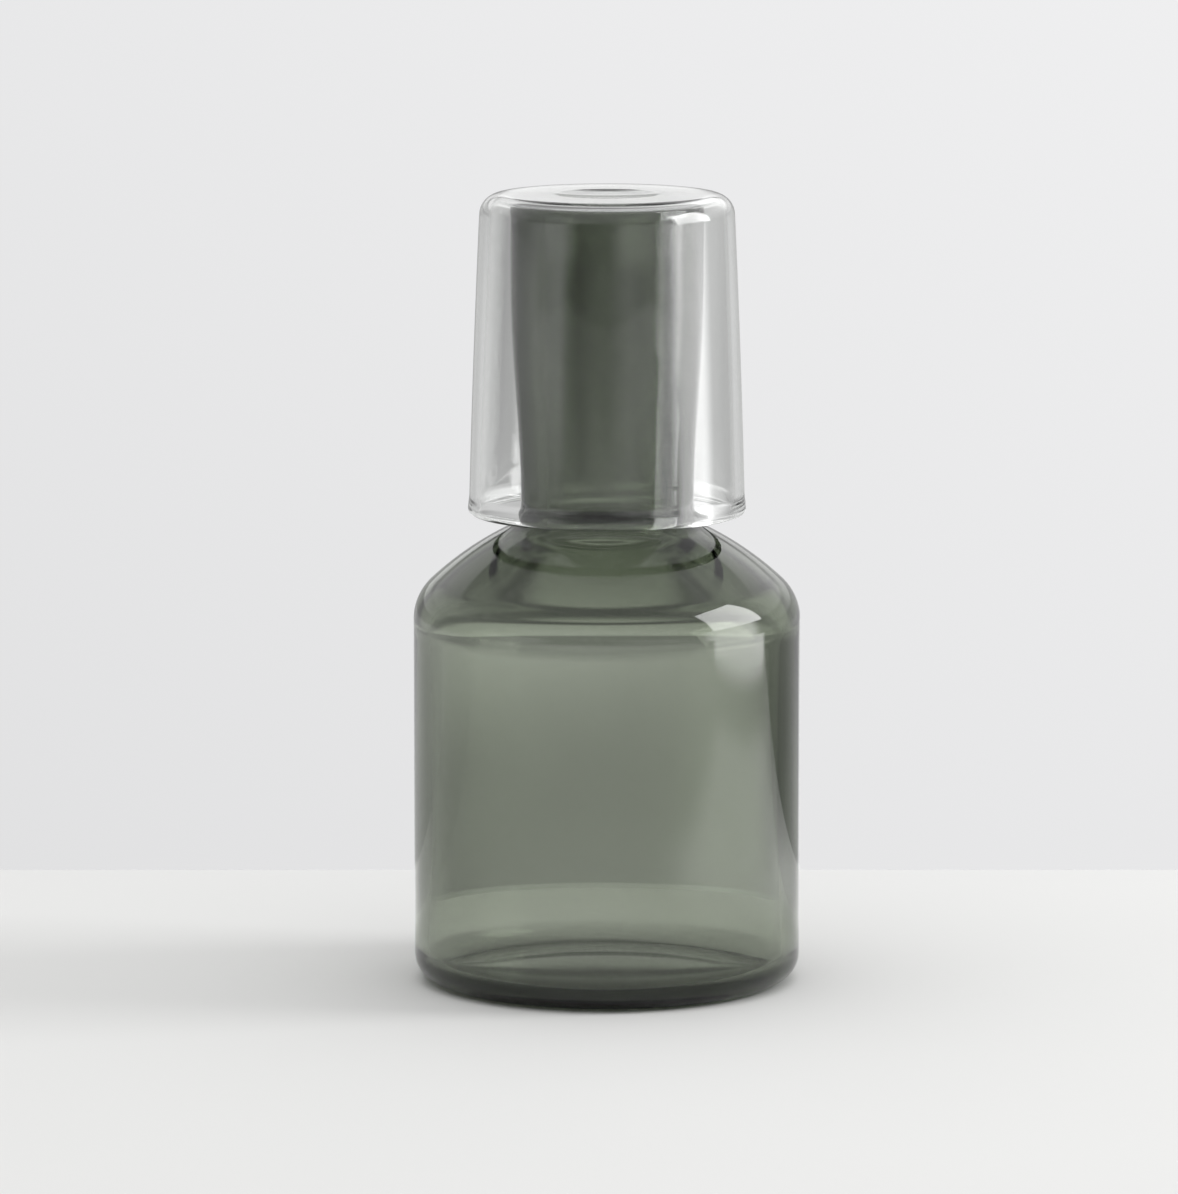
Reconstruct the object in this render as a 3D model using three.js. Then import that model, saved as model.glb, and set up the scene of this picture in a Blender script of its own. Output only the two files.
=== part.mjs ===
import * as THREE from "three";

// A bedside carafe of smoked glass, with a clear tumbler turned upside down over its neck as a lid.
// Millimetres, +Z up, with the middle of the carafe's base at the origin.

// Carafe, outside
const BODY_RADIUS = 50;
const BODY_WALL_HEIGHT = 94.3; // where the straight wall ends
const STANDING_CORNER = 6.75;
const PUSH_UP_RADIUS = 36; // the shallow hollow under the base
const PUSH_UP_DEPTH = 0.9;
const SHOULDER_CORNER = 13.7;
const SHOULDER_STEEP_ANGLE = 43; // slope of the shoulder at its corner, degrees from level
const SHOULDER_FLAT_ANGLE = 26.7; // slope of the shoulder at the neck
const NECK_ROOT = 7.5;
const WAIST_RADIUS = 22.2;
const MOUTH_RADIUS = 24.8;
const NECK_HEIGHT = 77.74; // from the waist to the top of the lip
const MOUTH_BAND = 21; // upright stretch of the neck below the lip
const LIP_ROUND = 0.8;

// Carafe, inside
const BODY_WALL = 4.4; // at the top and foot of the straight wall
const BODY_SWELL = 1; // by which the wall is thicker half-way up
const BASE_THICKNESS = 3.4;
const FLOOR_CORNER = 5.6;
const CEILING_DROP = 2.8; // of the ceiling's corner below the shoulder's
const CEILING_CORNER = 11;
const CEILING_STEEP_ANGLE = 34; // slope of the ceiling at its corner
const CEILING_FLAT_ANGLE = 24.5; // slope of the ceiling at the bore
const BORE_ROOT = 12;
const WAIST_WALL = 7.6;
const MOUTH_WALL = 8.8;

// Tumbler, upside down
const SEAT_CLEARANCE = 0.3; // between the carafe's lip and the tumbler's base
const NECK_CLEARANCE = 5.47; // around the mouth
const RIM_CLEARANCE = 3.94; // of the rim above the top of the shoulder
const TUMBLER_WALL = 2.6;
const TUMBLER_BASE = 2;
const TUMBLER_FLARE = 2.65; // gain in radius from the base to the rim's bead
const TUMBLER_BOW = 0.18; // swell of the wall beyond a straight cone
const RIM_BEAD = 0.35; // by which the fire-polished rim stands out from the wall
const RIM_BEAD_HEIGHT = 4; // over which the wall swells into the bead
const TUMBLER_CORNER = 5.5;
const TUMBLER_INNER_CORNER = 3.5;
const DIMPLE_RADIUS = 13; // the shallow hollow in the base
const DIMPLE_DEPTH = 0.5;

// Facets
const SEGMENTS = 48;
const CHORD_ERROR = 0.08; // largest distance of a facet from its round
const SWEEP_STEPS = 6;
const HOLLOW_STEPS = 3;

const radians = THREE.MathUtils.degToRad;

/** The point of a circle at an angle in degrees, counted from straight outward towards straight up. */
function onCircle(centre, radius, angle) {
  const turn = radians(angle);
  return new THREE.Vector2(centre.x + radius * Math.cos(turn), centre.y + radius * Math.sin(turn));
}

/** Points of a round stretch, between two angles in degrees. */
function arc(centre, radius, fromAngle, toAngle) {
  const start = radians(fromAngle);
  const end = radians(toAngle);
  const step = 2 * Math.acos(1 - CHORD_ERROR / radius);
  const curve = new THREE.EllipseCurve(centre.x, centre.y, radius, radius, start, end, end < start);
  return curve.getPoints(Math.ceil(Math.abs(end - start) / step));
}

/** Points of a smooth sweep from one radius to another, upright at both ends. */
function sweep(from, to) {
  const third = (to.y - from.y) / 3;
  const curve = new THREE.CubicBezierCurve(
    from,
    new THREE.Vector2(from.x, from.y + third),
    new THREE.Vector2(to.x, to.y - third),
    to,
  );
  return curve.getPoints(SWEEP_STEPS);
}

/** Points of a nearly straight wall that swells outward between its ends. */
function bowed(from, to, swell) {
  const middle = new THREE.Vector2((from.x + to.x) / 2 + 2 * swell, (from.y + to.y) / 2);
  return new THREE.QuadraticBezierCurve(from, middle, to).getPoints(SWEEP_STEPS);
}

/** Points of a shallow round hollow or crown, from its middle to its edge. */
function hollow(edgeRadius, edgeHeight, rise) {
  return Array.from({ length: HOLLOW_STEPS + 1 }, (_, index) => {
    const part = index / HOLLOW_STEPS;
    return new THREE.Vector2(edgeRadius * part, edgeHeight + rise * (1 - part ** 2));
  });
}

/** A shoulder in three arcs: a round corner, a long dome between two slopes and a root at the neck. */
function shoulder({ bodyRadius, height, corner, steepAngle, flatAngle, neckRadius, root }) {
  const steepTurn = 90 - steepAngle;
  const flatTurn = 90 - flatAngle;
  const cornerCentre = new THREE.Vector2(bodyRadius - corner, height);
  const start = onCircle(cornerCentre, corner, steepTurn);
  const end = neckRadius + root * (1 - Math.cos(radians(flatTurn)));
  const dome = (start.x - end) / (Math.cos(radians(steepTurn)) - Math.cos(radians(flatTurn)));
  const domeCentre = onCircle(start, -dome, steepTurn);
  const top = onCircle(domeCentre, dome, flatTurn);
  const rootCentre = onCircle(top, root, flatTurn);
  const points = [
    ...arc(cornerCentre, corner, 0, steepTurn),
    ...arc(domeCentre, dome, steepTurn, flatTurn),
    ...arc(rootCentre, root, 180 + flatTurn, 180),
  ];
  return { points, top, neckFoot: new THREE.Vector2(neckRadius, rootCentre.y) };
}

/** A closed body of revolution about +Z, from stretches of its profile joined end to end. */
function turned(...stretches) {
  const points = stretches.flat();
  const profile = points.filter((point, index) => index === 0 || point.distanceTo(points[index - 1]) > 1e-6);
  return new THREE.LatheGeometry(profile, SEGMENTS).rotateX(Math.PI / 2);
}

// The outside: a shoulder, and a neck with a waist, a flare and an upright mouth
const outside = shoulder({
  bodyRadius: BODY_RADIUS,
  height: BODY_WALL_HEIGHT,
  corner: SHOULDER_CORNER,
  steepAngle: SHOULDER_STEEP_ANGLE,
  flatAngle: SHOULDER_FLAT_ANGLE,
  neckRadius: WAIST_RADIUS,
  root: NECK_ROOT,
});
const lipHeight = outside.neckFoot.y + NECK_HEIGHT;
const flareTop = lipHeight - MOUTH_BAND;
const lipCentre = new THREE.Vector2(MOUTH_RADIUS - LIP_ROUND, lipHeight - LIP_ROUND);

// The inside: a bore, a ceiling under the shoulder, a wall that swells half-way up and a floor
const innerRadius = BODY_RADIUS - BODY_WALL;
const inside = shoulder({
  bodyRadius: innerRadius,
  height: BODY_WALL_HEIGHT - CEILING_DROP,
  corner: CEILING_CORNER,
  steepAngle: CEILING_STEEP_ANGLE,
  flatAngle: CEILING_FLAT_ANGLE,
  neckRadius: WAIST_RADIUS - WAIST_WALL,
  root: BORE_ROOT,
});
const boreMouth = MOUTH_RADIUS - MOUTH_WALL;
const innerLip = new THREE.Vector2(boreMouth + LIP_ROUND, lipHeight - LIP_ROUND);
const floorCentre = new THREE.Vector2(innerRadius - FLOOR_CORNER, BASE_THICKNESS + FLOOR_CORNER);

const carafeShape = turned(
  hollow(PUSH_UP_RADIUS, 0, PUSH_UP_DEPTH),
  arc(new THREE.Vector2(BODY_RADIUS - STANDING_CORNER, STANDING_CORNER), STANDING_CORNER, -90, 0),
  outside.points,
  sweep(outside.neckFoot, new THREE.Vector2(MOUTH_RADIUS, flareTop)),
  arc(lipCentre, LIP_ROUND, 0, 90),
  arc(innerLip, LIP_ROUND, 90, 180),
  sweep(new THREE.Vector2(boreMouth, flareTop), inside.neckFoot),
  inside.points.toReversed(),
  bowed(inside.points[0], onCircle(floorCentre, FLOOR_CORNER, 0), -BODY_SWELL),
  arc(floorCentre, FLOOR_CORNER, 0, -90),
  hollow(floorCentre.x, BASE_THICKNESS, PUSH_UP_DEPTH).reverse(),
);

// The tumbler: its base lies on the lip and its rim hangs clear of the shoulder
const seatHeight = lipHeight + SEAT_CLEARANCE;
const topHeight = seatHeight + TUMBLER_BASE;
const baseInside = MOUTH_RADIUS + NECK_CLEARANCE;
const baseOutside = baseInside + TUMBLER_WALL;
const wallFoot = baseOutside + TUMBLER_FLARE;
const rimRound = (TUMBLER_WALL + RIM_BEAD) / 2;
const rimCentre = new THREE.Vector2(wallFoot + RIM_BEAD - rimRound, outside.top.y + RIM_CLEARANCE + rimRound);
const beadTop = new THREE.Vector2(wallFoot, rimCentre.y + RIM_BEAD_HEIGHT);
const insideCentre = new THREE.Vector2(baseInside - TUMBLER_INNER_CORNER, seatHeight - TUMBLER_INNER_CORNER);
const outsideCentre = new THREE.Vector2(baseOutside - TUMBLER_CORNER, topHeight - TUMBLER_CORNER);

const tumblerShape = turned(
  [new THREE.Vector2(0, seatHeight)],
  arc(insideCentre, TUMBLER_INNER_CORNER, 90, 0),
  bowed(onCircle(insideCentre, TUMBLER_INNER_CORNER, 0), onCircle(rimCentre, rimRound, 180), TUMBLER_BOW),
  arc(rimCentre, rimRound, 180, 360),
  sweep(onCircle(rimCentre, rimRound, 0), beadTop),
  bowed(beadTop, onCircle(outsideCentre, TUMBLER_CORNER, 0), TUMBLER_BOW),
  arc(outsideCentre, TUMBLER_CORNER, 0, 90),
  hollow(DIMPLE_RADIUS, topHeight, -DIMPLE_DEPTH).reverse(),
);

const smokedGlass = new THREE.MeshStandardMaterial({ color: "#767e74", roughness: 0.04, metalness: 0 });
const carafe = new THREE.Mesh(carafeShape, smokedGlass);
carafe.name = "carafe";

const clearGlass = new THREE.MeshStandardMaterial({ color: "#d2d5d1", roughness: 0.03, metalness: 0 });
const tumbler = new THREE.Mesh(tumblerShape, clearGlass);
tumbler.name = "tumbler";

const set = new THREE.Group();
set.name = "glass_carafe";
set.add(carafe, tumbler);

export default set;
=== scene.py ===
"""Looks of a bedside carafe of smoked glass, lidded by a clear tumbler turned upside down over its neck.

Metres, +Z up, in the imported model's frame. The camera looks along +Y, with +X to its right.
"""

import logging
import math
from dataclasses import dataclass
from enum import Enum

import bpy
import numpy as np
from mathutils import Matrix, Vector
from numpy.typing import NDArray


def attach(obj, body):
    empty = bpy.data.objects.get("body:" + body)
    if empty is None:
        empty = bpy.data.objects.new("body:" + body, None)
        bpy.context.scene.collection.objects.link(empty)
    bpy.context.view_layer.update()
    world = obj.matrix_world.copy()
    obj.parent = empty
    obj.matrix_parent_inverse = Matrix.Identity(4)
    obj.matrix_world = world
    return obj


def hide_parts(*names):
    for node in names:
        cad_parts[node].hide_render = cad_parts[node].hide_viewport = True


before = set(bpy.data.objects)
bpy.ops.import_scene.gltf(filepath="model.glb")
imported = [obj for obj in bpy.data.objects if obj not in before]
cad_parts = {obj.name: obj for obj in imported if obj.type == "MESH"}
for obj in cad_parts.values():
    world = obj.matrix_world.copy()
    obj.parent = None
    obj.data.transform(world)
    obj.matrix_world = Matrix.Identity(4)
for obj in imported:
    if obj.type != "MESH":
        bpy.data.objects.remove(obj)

MM = 0.001
GLASS_BOUNCES = 32
MIRROR_BOUNCES = 12

Array = NDArray[np.float64]
Point = tuple[float, float]
Place = tuple[float, float, float]
Colour = tuple[float, float, float, float]
Edges = tuple[float, float, float, float]
Stops = tuple[tuple[float, float], ...]
Tree = bpy.types.NodeTree
Socket = bpy.types.NodeSocket

log = logging.getLogger("carafe")


class Face(Enum):
    """The face of a glass wall that a stretch of its profile lies on."""

    OUTSIDE = 0.0
    INSIDE = 1.0


def linear(hex_colour: str) -> Colour:
    """Turns an sRGB colour to linear light.

    Args:
        hex_colour: Six hex digits after a hash sign.

    Returns:
        Linear red, green, blue and an alpha of one.
    """
    srgb = np.array([int(hex_colour[i : i + 2], 16) for i in (1, 3, 5)]) / 255.0
    light = np.where(srgb <= 0.04045, srgb / 12.92, ((srgb + 0.055) / 1.055) ** 2.4)
    return float(light[0]), float(light[1]), float(light[2]), 1.0


def add(tree: Tree, kind: str, inputs: dict | None = None, **settings: object) -> bpy.types.Node:
    """Adds a node with its settings and links.

    Args:
        tree: The node tree that takes the node.
        kind: Blender's type name of the node.
        inputs: Input name or number to a value, or to an output socket that is linked to it.
        settings: The node's own properties.

    Returns:
        The new node.
    """
    made = tree.nodes.new(kind)
    for name, value in settings.items():
        setattr(made, name, value)
    for name, value in (inputs or {}).items():
        if isinstance(value, Socket):
            tree.links.new(value, made.inputs[name])
        else:
            made.inputs[name].default_value = value
    return made


def line(start: Point, end: Point, count: int = 12) -> Array:
    """Points of a straight stretch: the start plus an even share of the way to the end.

    Args:
        start: Radius and height of the first point.
        end: Radius and height of the last point.
        count: Number of points.

    Returns:
        Rows of radius and height.
    """
    return np.linspace(start, end, count)


def arc(centre: Point, radius: float, start: float, end: float, count: int = 18) -> Array:
    """Points of a round stretch: the centre plus the radius times the cosine and sine of an even turn.

    Args:
        centre: Radius and height of the circle's centre.
        radius: Radius of the circle.
        start: First angle in degrees, from straight outward towards straight up.
        end: Last angle.
        count: Number of points.

    Returns:
        Rows of radius and height.
    """
    turn = np.radians(np.linspace(start, end, count))
    return np.column_stack((centre[0] + radius * np.cos(turn), centre[1] + radius * np.sin(turn)))


def on_circle(centre: Point, radius: float, angle: float) -> Point:
    """The one point of a circle at an angle in degrees, from straight outward towards straight up."""
    turn = math.radians(angle)
    return centre[0] + radius * math.cos(turn), centre[1] + radius * math.sin(turn)


def sweep(start: Point, end: Point, count: int = 40) -> Array:
    """Points of a stretch upright at both ends: even heights, and a radius eased by 3t squared less 2t cubed.

    Args:
        start: Radius and height of the first point.
        end: Radius and height of the last point.
        count: Number of points.

    Returns:
        Rows of radius and height.
    """
    t = np.linspace(0.0, 1.0, count)
    ease = t * t * (3.0 - 2.0 * t)
    return np.column_stack((start[0] + (end[0] - start[0]) * ease, start[1] + (end[1] - start[1]) * t))


def bowed(start: Point, end: Point, swell: float, count: int = 30) -> Array:
    """Points of a wall that swells between its ends: a straight line plus the swell times 4t(1 - t).

    Args:
        start: Radius and height of the first point.
        end: Radius and height of the last point.
        swell: Greatest distance beyond the straight line.
        count: Number of points.

    Returns:
        Rows of radius and height.
    """
    t = np.linspace(0.0, 1.0, count)
    radius = start[0] + (end[0] - start[0]) * t + 4.0 * swell * t * (1.0 - t)
    return np.column_stack((radius, start[1] + (end[1] - start[1]) * t))


def crown(edge: Point, rise: float, count: int = 24) -> Array:
    """Points of a shallow crown, middle to edge: the rise times one less the square of the radius's share.

    Args:
        edge: Radius and height of the edge.
        rise: Height of the middle above the edge, below zero for a dimple.
        count: Number of points.

    Returns:
        Rows of radius and height, starting on the axis.
    """
    share = np.linspace(0.0, 1.0, count)
    return np.column_stack((edge[0] * share, edge[1] + rise * (1.0 - share**2)))


@dataclass(frozen=True)
class Shoulder:
    """Three arcs from an upright wall to an upright neck, without a kink: a corner, a long dome and a root.

    The dome lies between two given slopes, so its radius is the way that it covers inward, over the
    difference of the cosines at its ends.

    Attributes:
        wall: Radius and height at which the wall ends.
        corner_radius: Radius of the corner.
        steep_angle: Slope in degrees at which the corner passes into the dome.
        flat_angle: Slope in degrees at which the dome passes into the root.
        root_radius: Radius of the root.
        neck: Radius of the neck's foot.
        dome_count: Number of points on the dome.
    """

    wall: Point
    corner_radius: float
    steep_angle: float
    flat_angle: float
    root_radius: float
    neck: float
    dome_count: int = 18

    def rise(self) -> Array:
        """The arcs joined, from the wall up to the foot of the neck.

        Returns:
            Rows of radius and height.
        """
        steep = 90.0 - self.steep_angle
        flat = 90.0 - self.flat_angle
        corner = (self.wall[0] - self.corner_radius, self.wall[1])
        start = on_circle(corner, self.corner_radius, steep)
        root_start = self.neck + self.root_radius * (1.0 - math.cos(math.radians(flat)))
        fall = math.cos(math.radians(steep)) - math.cos(math.radians(flat))
        dome_radius = (start[0] - root_start) / fall
        dome = on_circle(start, -dome_radius, steep)
        root = on_circle(on_circle(dome, dome_radius, flat), self.root_radius, flat)
        return np.concatenate(
            (
                arc(corner, self.corner_radius, 0.0, steep),
                arc(dome, dome_radius, steep, flat, self.dome_count),
                arc(root, self.root_radius, 180.0 + flat, 180.0),
            )
        )


@dataclass(frozen=True)
class Blowing:
    """How far the inside of hand-blown glass departs from a true round, in millimetres.

    Its radius gains lean times the cosine of the turn from lean_towards, oval times the cosine of two
    turns, and ripple times the cosine of several turns, which drift with the height.

    Attributes:
        lean: How far the inside stands off the axis.
        lean_towards: Direction of the lean, in degrees from +X towards +Y.
        oval: How far the inside is oval.
        ripple: Depth of the ripples.
        drift: Turn of the ripples in radians, for each millimetre of height.
        oval_turn: Turn of the oval, in radians.
        ripple_count: Number of ripples round the axis.
        settle: Radius below which the departures fade out towards the axis.
    """

    lean: float
    lean_towards: float
    oval: float
    ripple: float
    drift: float
    oval_turn: float = 0.6
    ripple_count: int = 5
    settle: float = 12.0

    def offset(self, turn: Array, radius: Array, height: Array) -> Array:
        """Gain in radius of the inner face.

        Args:
            turn: Angles about the axis, in radians.
            radius: True radii in millimetres, of a shape that broadcasts with turn.
            height: Heights in millimetres, of the same shape as radius.

        Returns:
            The gain in millimetres on the grid of all three.
        """
        lean = self.lean * np.cos(turn - math.radians(self.lean_towards))
        oval = self.oval * np.cos(2.0 * turn + self.oval_turn)
        ripple = self.ripple * np.cos(self.ripple_count * turn + self.drift * height)
        return np.clip(radius / self.settle, 0.0, 1.0) * (lean + oval + ripple)


@dataclass(frozen=True)
class BlownGlass:
    """Blown soda-lime glass, clear or dyed through: glossy, with faint cords and a few smears.

    Attributes:
        name: Material name.
        dye: Colour that passes the dye, as sRGB hex.
        density: Strength of the dye per metre.
        face: Tint that the faces add, as sRGB hex.
        ior: Refractive index.
        gloss: Roughness of a clean face.
        smear: Roughness that a smeared patch adds.
        smear_width: Width of the smears, in millimetres.
        smear_start: Level of the pattern at which a smear starts.
        smear_full: Level of the pattern at which it is full.
        cord_width: Width of the cords, in millimetres.
        cord_slimness: Width of a cord over its length, since blowing draws it out upward.
        cord_depth: Depth of the cords, in millimetres.
    """

    name: str
    dye: str
    density: float
    face: str = "#ffffff"
    ior: float = 1.5
    gloss: float = 0.0
    smear: float = 0.02
    smear_width: float = 14.0
    smear_start: float = 0.55
    smear_full: float = 0.8
    cord_width: float = 9.0
    cord_slimness: float = 0.12
    cord_depth: float = 0.004

    def material(self) -> bpy.types.Material:
        """Makes the material.

        Returns:
            A node material with cords in its bump, smears in its roughness and the dye in its volume.
        """
        made = bpy.data.materials.new(self.name)
        made.use_nodes = True
        tree = made.node_tree
        tree.nodes.clear()
        place = add(tree, "ShaderNodeTexCoord").outputs["Object"]
        drawn = add(tree, "ShaderNodeMapping", {"Vector": place, "Scale": (1.0, 1.0, self.cord_slimness)})
        cords = add(
            tree,
            "ShaderNodeTexNoise",
            {"Vector": drawn.outputs[0], "Scale": 1.0 / (self.cord_width * MM), "Detail": 1.0},
        )
        bump = add(
            tree,
            "ShaderNodeBump",
            {"Height": cords.outputs[0], "Strength": 1.0, "Distance": self.cord_depth * MM},
        )
        patches = add(
            tree,
            "ShaderNodeTexNoise",
            {"Vector": place, "Scale": 1.0 / (self.smear_width * MM), "Detail": 3.0},
        )
        rough = add(
            tree,
            "ShaderNodeMapRange",
            {
                "Value": patches.outputs[0],
                "From Min": self.smear_start,
                "From Max": self.smear_full,
                "To Min": self.gloss,
                "To Max": self.gloss + self.smear,
            },
        )
        face = add(
            tree,
            "ShaderNodeBsdfPrincipled",
            {
                "Base Color": linear(self.face),
                "Roughness": rough.outputs[0],
                "IOR": self.ior,
                "Transmission Weight": 1.0,
                "Normal": bump.outputs[0],
            },
        )
        depth = add(tree, "ShaderNodeVolumeAbsorption", {"Color": linear(self.dye), "Density": self.density})
        add(tree, "ShaderNodeOutputMaterial", {"Surface": face.outputs[0], "Volume": depth.outputs[0]})
        return made


# Glass smoked all through: grey-green, darker wherever the eye looks through more of it.
SMOKED_GLASS = BlownGlass("smoked_blown_glass", "#63793f", 160.0)
# Glass with hardly any colour: seen by its reflections, and a little grey along its edges.
CLEAR_GLASS = BlownGlass("clear_blown_glass", "#ced1ce", 80.0)


@dataclass
class TurnedGlass:
    """A closed glass wall: a profile carried round the Z axis.

    Attributes:
        name: Name of the piece.
        node: CAD node that the piece stands for.
        body: CAD body that the piece rides on.
        slot: Material slot of the record; not used.
        finish: The glass.
        blowing: The blown glass's departures from a true round.
        segments: Number of steps round the axis.
    """

    name: str
    node: str
    body: str
    slot: str
    finish: BlownGlass
    blowing: Blowing
    segments: int = 192

    def stretches(self) -> list[tuple[Face, Array]]:
        """The profile's stretches in order, from the axis out, round and back to it, in millimetres."""
        raise NotImplementedError

    def profile(self) -> tuple[Array, Array]:
        """The stretches joined end to end, each shared point kept once.

        Returns:
            Rows of radius and height, and each point's share of the inner face's departures.
        """
        made = self.stretches()
        points = np.concatenate([part for _, part in made])
        share = np.concatenate([np.full(len(part), side.value) for side, part in made])
        step = np.linalg.norm(np.diff(points, axis=0), axis=1)
        keep = np.concatenate(([True], step > 1e-6))
        return points[keep], share[keep]

    def grid(self) -> Array:
        """Points of the surface: the profile's radius, with its departures, turned to even angles.

        Returns:
            An array of profile points by angles by three coordinates, in metres.
        """
        points, share = self.profile()
        turn = np.linspace(0.0, 2.0 * np.pi, self.segments, endpoint=False)[None, :]
        radius, height = points[:, :1], points[:, 1:]
        wide = radius + share[:, None] * self.blowing.offset(turn, radius, height)
        tall = np.broadcast_to(height, wide.shape)
        return np.stack((wide * np.cos(turn), wide * np.sin(turn), tall), axis=-1) * MM

    def faces(self, rings: int) -> list[list[int]]:
        """Corner numbers of the faces: a fan at each end of the profile and quads between its rings.

        Args:
            rings: Number of rings between the two points on the axis.

        Returns:
            Lists of vertex numbers, in order seen from outside the glass.
        """
        across = np.arange(self.segments)
        after = (across + 1) % self.segments
        fan_in = np.column_stack((np.zeros_like(across), 1 + after, 1 + across))
        low = 1 + np.arange(rings - 1)[:, None] * self.segments
        high = low + self.segments
        quads = np.stack((low + across, low + after, high + after, high + across), axis=-1).reshape(-1, 4)
        last = 1 + (rings - 1) * self.segments
        end = np.full_like(across, last + self.segments)
        fan_out = np.column_stack((last + across, last + after, end))
        return fan_in.tolist() + quads.tolist() + fan_out.tolist()

    def build(self) -> bpy.types.Object:
        """Makes the mesh at its place in the frame, smooth, riding on its body in place of its CAD node.

        Returns:
            The new object.
        """
        grid = self.grid()
        rings = grid[1:-1]
        vertices = np.concatenate((grid[:1, 0], rings.reshape(-1, 3), grid[-1:, 0]))
        mesh = bpy.data.meshes.new(self.name)
        mesh.from_pydata(vertices.tolist(), [], self.faces(len(rings)))
        mesh.polygons.foreach_set("use_smooth", np.ones(len(mesh.polygons), dtype=bool))
        mesh.update()
        piece = bpy.data.objects.new(self.name, mesh)
        bpy.context.scene.collection.objects.link(piece)
        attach(piece, self.body)
        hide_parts(self.node)
        return piece

    def dress(self, piece: bpy.types.Object) -> None:
        """Gives the piece its glass and no other material."""
        piece.data.materials.clear()
        piece.data.materials.append(self.finish.material())


@dataclass
class Carafe(TurnedGlass):
    """The smoked carafe, in millimetres: straight body, sloping shoulder, thick waisted neck, flat lip."""

    body_radius: float = 50.0
    body_wall_height: float = 94.3
    standing_corner: float = 6.75
    push_up_radius: float = 36.0
    push_up_depth: float = 0.9
    shoulder_corner: float = 13.7
    shoulder_steep_angle: float = 43.0
    shoulder_flat_angle: float = 26.7
    neck_root: float = 7.5
    waist_radius: float = 22.2
    mouth_radius: float = 24.8
    neck_height: float = 77.74
    mouth_band: float = 21.0
    lip_round: float = 0.8
    body_wall: float = 4.4
    base_thickness: float = 3.4
    floor_corner: float = 5.6
    body_swell: float = 1.0
    ceiling_drop: float = 2.8
    ceiling_corner: float = 11.0
    ceiling_steep_angle: float = 34.0
    ceiling_flat_angle: float = 24.5
    bore_root: float = 12.0
    waist_wall: float = 7.6
    mouth_wall: float = 8.8

    def stretches(self) -> list[tuple[Face, Array]]:
        """The profile: under the base, up the outside, over the lip, down the bore and over the floor.

        Returns:
            Each stretch with the face that it lies on.
        """
        inner = self.body_radius - self.body_wall
        bore = self.waist_radius - self.waist_wall
        mouth = self.mouth_radius - self.mouth_wall
        stand = self.body_radius - self.standing_corner
        shoulder_foot = (self.body_radius, self.body_wall_height)
        shoulder = Shoulder(
            shoulder_foot,
            self.shoulder_corner,
            self.shoulder_steep_angle,
            self.shoulder_flat_angle,
            self.neck_root,
            self.waist_radius,
        ).rise()
        ceiling_foot = (inner, self.body_wall_height - self.ceiling_drop)
        ceiling = Shoulder(
            ceiling_foot,
            self.ceiling_corner,
            self.ceiling_steep_angle,
            self.ceiling_flat_angle,
            self.bore_root,
            bore,
            dome_count=24,
        ).rise()
        lip = shoulder[-1, 1] + self.neck_height
        lip_outside = (self.mouth_radius - self.lip_round, lip - self.lip_round)
        lip_inside = (mouth + self.lip_round, lip - self.lip_round)
        flare_top = lip - self.mouth_band
        floor_edge = inner - self.floor_corner
        floor_centre = (floor_edge, self.base_thickness + self.floor_corner)
        return [
            (Face.OUTSIDE, crown((self.push_up_radius, 0.0), self.push_up_depth)),
            (Face.OUTSIDE, line((self.push_up_radius, 0.0), (stand, 0.0), 5)),
            (Face.OUTSIDE, arc((stand, self.standing_corner), self.standing_corner, -90.0, 0.0)),
            (Face.OUTSIDE, line((self.body_radius, self.standing_corner), shoulder_foot, 20)),
            (Face.OUTSIDE, shoulder),
            (Face.OUTSIDE, sweep((self.waist_radius, shoulder[-1, 1]), (self.mouth_radius, flare_top))),
            (Face.OUTSIDE, arc(lip_outside, self.lip_round, 0.0, 90.0, 9)),
            (Face.OUTSIDE, arc(lip_inside, self.lip_round, 90.0, 180.0, 9)),
            (Face.INSIDE, sweep((mouth, flare_top), (bore, ceiling[-1, 1]))),
            (Face.INSIDE, ceiling[::-1]),
            (Face.INSIDE, bowed(ceiling_foot, (inner, floor_centre[1]), -self.body_swell, 48)),
            (Face.INSIDE, arc(floor_centre, self.floor_corner, 0.0, -90.0)),
            (Face.INSIDE, crown((floor_edge, self.base_thickness), self.push_up_depth)[::-1]),
        ]


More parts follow.
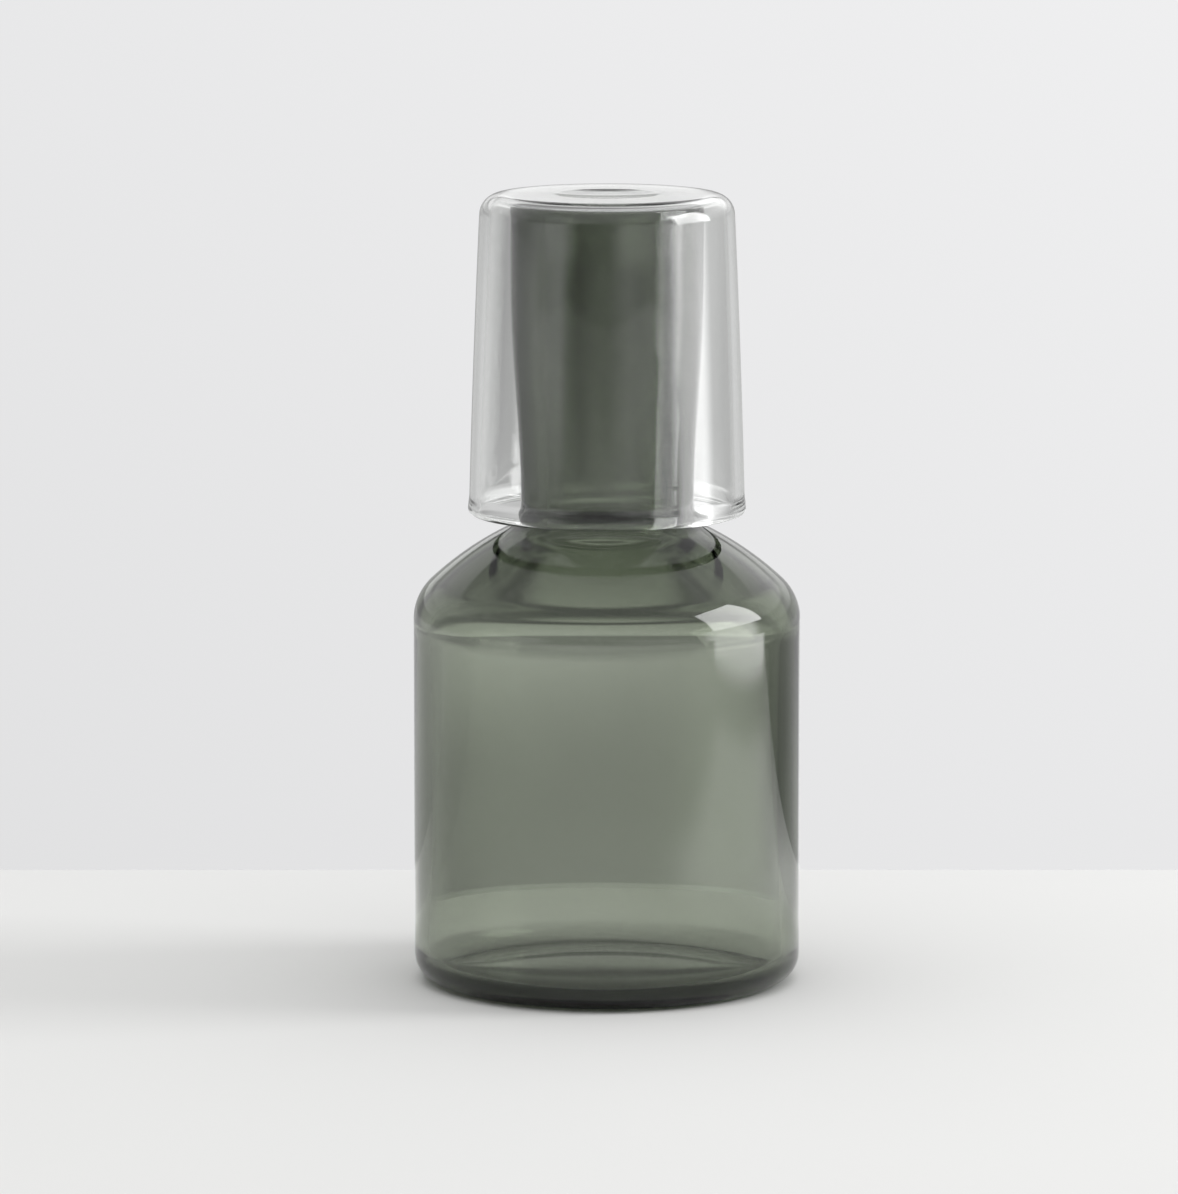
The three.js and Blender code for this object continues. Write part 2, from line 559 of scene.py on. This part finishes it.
@dataclass
class Tumbler(TurnedGlass):
    """The clear tumbler, upside down, in millimetres: flat base, slight flare, fire-polished rim."""

    seat_height: float = 202.508
    base: float = 2.0
    base_inside: float = 30.27
    wall: float = 2.6
    flare: float = 2.65
    swell: float = 0.18
    bead: float = 0.35
    bead_height: float = 4.0
    height: float = 82.8
    corner: float = 5.5
    inner_corner: float = 3.5
    dimple_radius: float = 13.0
    dimple_depth: float = 0.5

    def stretches(self) -> list[tuple[Face, Array]]:
        """The profile: along the seat, down the inside, round the rim, up the outside and over the base.

        Returns:
            Each stretch with the face that it lies on.
        """
        top = self.seat_height + self.base
        outside = self.base_inside + self.wall
        rim_round = (self.wall + self.bead) / 2.0
        bead_foot = outside + self.flare
        rim = (bead_foot + self.bead - rim_round, top - self.height + rim_round)
        bead_top = (bead_foot, rim[1] + self.bead_height)
        inner = (self.base_inside - self.inner_corner, self.seat_height - self.inner_corner)
        outer = (outside - self.corner, top - self.corner)
        inner_foot = on_circle(inner, self.inner_corner, 0.0)
        outer_foot = on_circle(outer, self.corner, 0.0)
        return [
            (Face.INSIDE, line((0.0, self.seat_height), (inner[0], self.seat_height), 24)),
            (Face.INSIDE, arc(inner, self.inner_corner, 90.0, 0.0)),
            (Face.INSIDE, bowed(inner_foot, on_circle(rim, rim_round, 180.0), self.swell)),
            (Face.OUTSIDE, arc(rim, rim_round, 180.0, 360.0, 24)),
            (Face.OUTSIDE, sweep(on_circle(rim, rim_round, 0.0), bead_top, 16)),
            (Face.OUTSIDE, bowed(bead_top, outer_foot, self.swell)),
            (Face.OUTSIDE, arc(outer, self.corner, 0.0, 90.0)),
            (Face.OUTSIDE, line((outer[0], top), (self.dimple_radius, top))),
            (Face.OUTSIDE, crown((self.dimple_radius, top), -self.dimple_depth)[::-1]),
        ]


@dataclass(frozen=True)
class LacqueredBoard:
    """White lacquered board: pale, matt all over, with a faint unevenness in its tone.

    Attributes:
        name: Material name.
        colour: Its colour, as sRGB hex.
        roughness: Roughness of the lacquer.
        mottle_width: Width of the uneven patches, in millimetres.
        mottle: Greatest share by which a patch is lighter or darker.
    """

    name: str = "white_lacquered_board"
    colour: str = "#e6e6e5"
    roughness: float = 0.9
    mottle_width: float = 166.7
    mottle: float = 0.015

    def material(self) -> bpy.types.Material:
        """Makes the material.

        Returns:
            A node material with the mottle in its colour.
        """
        made = bpy.data.materials.new(self.name)
        made.use_nodes = True
        tree = made.node_tree
        tree.nodes.clear()
        place = add(tree, "ShaderNodeTexCoord").outputs["Object"]
        patches = add(
            tree,
            "ShaderNodeTexNoise",
            {"Vector": place, "Scale": 1.0 / (self.mottle_width * MM), "Detail": 2.0},
        )
        tone = add(
            tree,
            "ShaderNodeMapRange",
            {"Value": patches.outputs[0], "To Min": 1.0 - self.mottle, "To Max": 1.0 + self.mottle},
        )
        colour = add(
            tree,
            "ShaderNodeMix",
            {6: linear(self.colour), 7: tone.outputs[0], 0: 1.0},
            data_type="RGBA",
            blend_type="MULTIPLY",
        )
        face = add(
            tree,
            "ShaderNodeBsdfPrincipled",
            {"Base Color": colour.outputs[2], "Roughness": self.roughness, "Specular IOR Level": 0.0},
        )
        add(tree, "ShaderNodeOutputMaterial", {"Surface": face.outputs[0]})
        return made


@dataclass
class Table:
    """The pale table that the carafe stands on, in metres, with its straight back edge behind the carafe."""

    half_width: float = 1.1
    front: float = -0.95
    back: float = 0.156
    top: float = -0.0002
    thickness: float = 0.03
    edge_round: float = 0.002
    finish: LacqueredBoard = LacqueredBoard()

    def build(self) -> bpy.types.Object:
        """Makes the table as a slab: a rounded profile in Y and Z carried along X.

        Returns:
            The table.
        """
        turn = np.radians(np.linspace(90.0, 0.0, 9))
        edge = np.column_stack(
            (
                self.back - self.edge_round + self.edge_round * np.cos(turn),
                self.top - self.edge_round + self.edge_round * np.sin(turn),
            )
        )
        low = self.top - self.thickness
        section = np.concatenate(([[self.front, self.top]], edge, [[self.back, low], [self.front, low]]))
        count = len(section)
        ends = (-self.half_width, self.half_width)
        vertices = np.concatenate([np.insert(section, 0, end, axis=1) for end in ends])
        near = np.arange(count)
        after = (near + 1) % count
        sides = np.column_stack((near, near + count, after + count, after))
        faces = sides.tolist() + [near.tolist(), (near + count)[::-1].tolist()]
        mesh = bpy.data.meshes.new("table")
        mesh.from_pydata(vertices.tolist(), [], faces)
        mesh.update()
        made = bpy.data.objects.new("table", mesh)
        bpy.context.scene.collection.objects.link(made)
        made.data.materials.append(self.finish.material())
        return made


class Role(Enum):
    """What a soft light is there for."""

    SHINE = "stands upright and shows in the glass alone"
    GLOW = "lies on the table and shows in the glass alone"
    SHADOW = "lights the table and does not show in the glass"


@dataclass(frozen=True)
class SoftLight:
    """A soft panel of light.

    Attributes:
        name: Name of the light.
        place: Its middle, in metres.
        size: Width and height, in metres.
        light: Its brightness, where one is white.
        role: What it is there for.
        feather: Shares of the panel over which its light fades in, from its left, right, bottom and top.
    """

    name: str
    place: Place
    size: tuple[float, float]
    light: float
    role: Role
    feather: Edges = (0.0, 0.0, 0.0, 0.0)

    def build(self) -> bpy.types.Object:
        """Makes the light.

        Returns:
            The light, turned as its role asks.
        """
        data = bpy.data.lights.new(self.name, "AREA")
        data.shape = "RECTANGLE"
        data.size, data.size_y = self.size
        data.energy = self.light * math.pi * data.size * data.size_y
        self.soften(data)
        lamp = bpy.data.objects.new(self.name, data)
        lamp.location = self.place
        lamp.visible_camera = False
        if self.role is Role.SHADOW:
            lamp.visible_glossy = False
            lamp.visible_transmission = False
            lamp.rotation_euler = Vector(self.place).to_track_quat("Z", "Y").to_euler()
        else:
            lamp.visible_diffuse = False
            upright = (math.radians(90.0), 0.0, math.radians(90.0))
            lamp.rotation_euler = upright if self.role is Role.SHINE else (math.radians(180.0), 0.0, 0.0)
        bpy.context.scene.collection.objects.link(lamp)
        return lamp

    def soften(self, data: bpy.types.AreaLight) -> None:
        """Fades the light out towards the panel's edges, by the product of a soft step in from each edge.

        Args:
            data: The light that is changed.
        """
        data.use_nodes = True
        tree = data.node_tree
        tree.nodes.clear()
        spot = add(tree, "ShaderNodeNewGeometry").outputs["Parametric"]
        across, up, _ = add(tree, "ShaderNodeSeparateXYZ", {0: spot}).outputs
        strength = 1.0
        for part, edge, share in zip((across, across, up, up), (0.0, 1.0, 0.0, 1.0), self.feather):
            if share > 0.0:
                full = edge + share * (1.0 - 2.0 * edge)
                reach = {"Value": part, "From Min": edge, "From Max": full}
                step = add(tree, "ShaderNodeMapRange", reach, interpolation_type="SMOOTHSTEP")
                product = {0: strength, 1: step.outputs[0]}
                strength = add(tree, "ShaderNodeMath", product, operation="MULTIPLY").outputs[0]
        light = add(tree, "ShaderNodeEmission", {"Strength": strength})
        add(tree, "ShaderNodeOutputLight", {0: light.outputs[0]})


LIGHTS = (
    # three panels above one another on the right, mirrored in the neck and the shoulder
    SoftLight("foot_panel", (0.47, -0.065, 0.032), (0.37, 0.046), 3.8, Role.SHINE, (0.1, 0.1, 0.3, 0.0)),
    SoftLight("low_panel", (0.47, -0.135, 0.1275), (0.44, 0.145), 4.1, Role.SHINE, (0.37, 0.2, 0.0, 0.0)),
    SoftLight("high_panel", (0.47, -0.0625, 0.38), (0.365, 0.36), 8.0, Role.SHINE, (0.05, 0.05, 0.0, 0.0)),
    # light on the table, mirrored in the right of the body and seen through the foot of the body
    SoftLight("table_glow", (0.29, -0.0465, 0.001), (0.4, 0.42), 1.1, Role.GLOW, (0.25, 0.25, 0.25, 0.25)),
    SoftLight("far_glow", (0.0, 0.1, 0.001), (0.3, 0.108), 0.25, Role.GLOW, (0.3, 0.3, 0.0, 0.3)),
    # the lamp that casts the soft shadow to the left
    SoftLight("key_lamp", (1.5, 0.0, 0.75), (0.6, 0.6), 9.7, Role.SHADOW),
)


@dataclass(frozen=True)
class LightBand:
    """The light that comes from all round, up to an elevation.

    Attributes:
        top: Elevation in degrees at which the band passes into the next one above it.
        front: Light from straight in front, where the two ends of the band meet.
        stops: Azimuth in degrees from +Y towards +X, and the light from that side.
    """

    top: float
    front: float
    stops: Stops = ()

    def ramp(self, tree: Tree, share: Socket) -> Socket:
        """Adds the band as a ramp of light by azimuth.

        Args:
            tree: The world's node tree.
            share: Azimuth as a share of the full turn, with zero at the front.

        Returns:
            The ramp's colour.
        """
        made = add(tree, "ShaderNodeValToRGB", {0: share})
        elements = made.color_ramp.elements
        elements.remove(elements[-1])
        for index, (angle, light) in enumerate(((-180.0, self.front), *self.stops, (180.0, self.front))):
            at = (angle + 180.0) / 360.0
            stop = elements[0] if index == 0 else elements.new(at)
            stop.position = at
            stop.color = (light, light, light, 1.0)
        return made.outputs[0]


BANDS = (
    # the ground
    LightBand(-16.0, 0.55),
    # seen through the top of the body
    LightBand(-11.0, 0.48, ((-60.0, 0.7), (-24.0, 0.7), (0.0, 1.2), (14.0, 0.55), (36.0, 0.42))),
    # seen through the body
    LightBand(
        -8.0,
        0.5,
        (
            (-104.0, 0.44), (-64.0, 0.85), (-44.0, 0.6), (-28.0, 0.68), (-14.0, 0.62), (2.0, 0.72),
            (6.0, 1.08), (12.0, 1.08), (18.0, 0.6), (30.0, 0.6), (48.0, 0.33), (64.0, 0.25),
        ),
    ),
    # seen through the tumbler
    LightBand(
        -4.0,
        0.44,
        (
            (-144.0, 0.25), (-120.0, 0.5), (-104.0, 0.1), (-96.0, 0.1), (-80.0, 0.75), (-70.0, 0.85),
            (-52.0, 0.82), (-44.0, 0.82), (-36.0, 0.72), (-28.0, 0.62), (-16.0, 0.66), (-8.0, 0.35),
            (0.0, 0.7), (16.0, 0.6), (32.0, 0.8), (56.0, 0.3), (104.0, 0.37), (120.0, 0.12),
            (144.0, 0.2), (160.0, 0.5),
        ),
    ),
    # level with the eye, mirrored in the tumbler's wall
    LightBand(
        5.0,
        0.22,
        (
            (-165.0, 0.18), (-150.0, 0.12), (-145.0, 0.3), (-138.0, 1.05), (-112.0, 1.0), (-100.0, 0.5),
            (-90.0, 0.3), (-70.0, 0.55), (-50.0, 0.55), (-24.0, 0.42), (24.0, 0.65), (72.0, 0.5),
            (88.0, 1.0), (108.0, 1.1), (118.0, 0.6), (140.0, 0.72), (162.0, 0.72), (174.0, 0.4),
        ),
    ),
    # mirrored in the base of the tumbler
    LightBand(
        8.0,
        0.31,
        ((-60.0, 0.65), (-30.0, 0.9), (-12.0, 1.2), (12.0, 1.2), (48.0, 0.8), (120.0, 0.41)),
    ),
    # seen through the shoulder
    LightBand(
        11.5,
        0.31,
        ((-60.0, 0.65), (-30.0, 0.9), (-12.0, 1.18), (8.0, 1.18), (24.0, 1.2), (48.0, 0.8), (120.0, 0.41)),
    ),
    # mirrored in the front half of the carafe's floor
    LightBand(
        15.0,
        0.31,
        ((-60.0, 0.65), (-30.0, 0.9), (-12.0, 0.3), (8.0, 0.3), (24.0, 1.2), (48.0, 0.8), (120.0, 0.41)),
    ),
    # mirrored in the sides of the shoulder
    LightBand(
        35.0,
        0.55,
        ((-60.0, 0.8), (-30.0, 1.0), (0.0, 0.7), (20.0, 1.6), (48.0, 1.2), (120.0, 0.64)),
    ),
    # mirrored in the shoulder
    LightBand(60.0, 0.63, ((-72.0, 0.7), (-48.0, 0.57), (-24.0, 0.3), (0.0, 0.25), (48.0, 1.05))),
    # overhead
    LightBand(90.0, 0.8),
)


@dataclass
class Studio:
    """Soft light round the carafe: bands from all sides, soft panels and glows, a key lamp, a pale backdrop.

    Attributes:
        bands: The light seen in the glass, from the ground to overhead.
        band_soft: Half the elevation, in degrees, over which one band passes into the next.
        fill: Light on the table from straight above, which fades with the square of its upright part.
        wall: Tone of the backdrop level with the eye.
        wall_slope: How much the backdrop brightens towards +X and upward.
        wall_tint: Cast of the backdrop, as sRGB hex.
        lights: The soft panels, the glows and the key lamp.
    """

    bands: tuple[LightBand, ...] = BANDS
    band_soft: float = 1.2
    fill: float = 1.77
    wall: float = 0.878
    wall_slope: tuple[float, float] = (0.35, 0.5)
    wall_tint: str = "#fefeff"
    lights: tuple[SoftLight, ...] = LIGHTS

    def light_all_round(self, tree: Tree, x: Socket, y: Socket, z: Socket) -> Socket:
        """Adds the bands, each passing into the next round its top.

        Args:
            tree: The world's node tree.
            x: Part of the direction towards +X.
            y: Part of the direction towards +Y.
            z: Upright part of the direction.

        Returns:
            The light's colour.
        """
        azimuth = add(tree, "ShaderNodeMath", {0: x, 1: y}, operation="ARCTAN2")
        turn = {"Value": azimuth.outputs[0], "From Min": -math.pi, "From Max": math.pi}
        share = add(tree, "ShaderNodeMapRange", turn).outputs[0]
        seen = self.bands[0].ramp(tree, share)
        for under, over in zip(self.bands, self.bands[1:]):
            low = math.sin(math.radians(under.top - self.band_soft))
            high = math.sin(math.radians(under.top + self.band_soft))
            step = add(
                tree,
                "ShaderNodeMapRange",
                {"Value": z, "From Min": low, "From Max": high},
                interpolation_type="SMOOTHSTEP",
            )
            blend = {0: step.outputs[0], 6: seen, 7: over.ramp(tree, share)}
            seen = add(tree, "ShaderNodeMix", blend, data_type="RGBA").outputs[2]
        return seen

    def backdrop(self, tree: Tree, x: Socket, z: Socket) -> Socket:
        """Adds the backdrop that the camera sees: its tone plus a share of the direction's parts.

        Args:
            tree: The world's node tree.
            x: Part of the direction towards +X.
            z: Upright part of the direction.

        Returns:
            The backdrop's colour.
        """
        across, up = self.wall_slope
        tone = self.wall
        for part, slope in ((x, across), (z, up)):
            terms = {0: part, 1: slope, 2: tone}
            tone = add(tree, "ShaderNodeMath", terms, operation="MULTIPLY_ADD").outputs[0]
        tinted = {0: 1.0, 6: linear(self.wall_tint), 7: tone}
        return add(tree, "ShaderNodeMix", tinted, data_type="RGBA", blend_type="MULTIPLY").outputs[2]

    def build_world(self) -> None:
        """Makes the light from all round, by the direction and by the kind of ray."""
        world = bpy.data.worlds.new("studio")
        bpy.context.scene.world = world
        world.use_nodes = True
        tree = world.node_tree
        tree.nodes.clear()
        way = add(tree, "ShaderNodeTexCoord").outputs["Generated"]
        x, y, z = add(tree, "ShaderNodeSeparateXYZ", {0: way}).outputs
        rays = add(tree, "ShaderNodeLightPath").outputs
        upright = add(tree, "ShaderNodeMath", {0: z, 1: z}, operation="MULTIPLY").outputs[0]
        fill = add(tree, "ShaderNodeMath", {0: upright, 1: self.fill}, operation="MULTIPLY").outputs[0]
        lit = {0: rays["Is Diffuse Ray"], 6: self.light_all_round(tree, x, y, z), 7: fill}
        lit = add(tree, "ShaderNodeMix", lit, data_type="RGBA").outputs[2]
        shown = {0: rays["Is Camera Ray"], 6: lit, 7: self.backdrop(tree, x, z)}
        shown = add(tree, "ShaderNodeMix", shown, data_type="RGBA").outputs[2]
        light = add(tree, "ShaderNodeBackground", {"Color": shown, "Strength": 1.0})
        add(tree, "ShaderNodeOutputWorld", {"Surface": light.outputs[0]})

    def build(self) -> None:
        """Makes the world's light and the soft lights."""
        self.build_world()
        for light in self.lights:
            light.build()


@dataclass
class Viewpoint:
    """The photograph's camera: in front of the carafe, a little above it, through a long lens.

    Attributes:
        place: Its place, in metres.
        pitch: How far it looks down, in degrees.
        lens: Focal length in millimetres.
        sensor: Width of the picture in the camera, in millimetres.
        clip: Nearest and farthest distance that it shows, in metres.
    """

    place: Place = (-0.00465, -1.9585, 0.3879)
    pitch: float = 8.368
    lens: float = 230.79
    sensor: float = 36.0
    clip: tuple[float, float] = (0.05, 50.0)

    def build(self) -> bpy.types.Object:
        """Makes the camera and gives it to the scene.

        Returns:
            The camera.
        """
        data = bpy.data.cameras.new("camera")
        data.lens = self.lens
        data.sensor_width = self.sensor
        data.clip_start, data.clip_end = self.clip
        camera = bpy.data.objects.new("camera", data)
        camera.location = self.place
        camera.rotation_euler = (math.radians(90.0 - self.pitch), 0.0, 0.0)
        bpy.context.scene.collection.objects.link(camera)
        bpy.context.scene.camera = camera
        return camera


def main() -> None:
    """Builds the camera, the carafe, the tumbler, the table and the light."""
    logging.basicConfig(level=logging.INFO, format="%(message)s")
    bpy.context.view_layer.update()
    scene = bpy.context.scene
    scene.view_settings.view_transform = "Standard"
    scene.cycles.max_bounces = GLASS_BOUNCES
    scene.cycles.transmission_bounces = GLASS_BOUNCES
    scene.cycles.glossy_bounces = MIRROR_BOUNCES
    Viewpoint().build()
    log.info("camera")
    carafe_blowing = Blowing(lean=0.4, lean_towards=180.0, oval=0.1, ripple=0.03, drift=0.02)
    tumbler_blowing = Blowing(lean=0.05, lean_towards=90.0, oval=0.08, ripple=0.03, drift=0.03)
    parts = (
        Carafe("carafe_glass", "carafe", "carafe", "smoked_glass", SMOKED_GLASS, carafe_blowing),
        Tumbler("tumbler_glass", "tumbler", "tumbler", "clear_glass", CLEAR_GLASS, tumbler_blowing),
    )
    for part in parts:
        piece = part.build()
        part.dress(piece)
        log.info("%s: %d faces", piece.name, len(piece.data.polygons))
    Table().build()
    Studio().build()
    log.info("table, light")


if __name__ == "__main__":
    main()
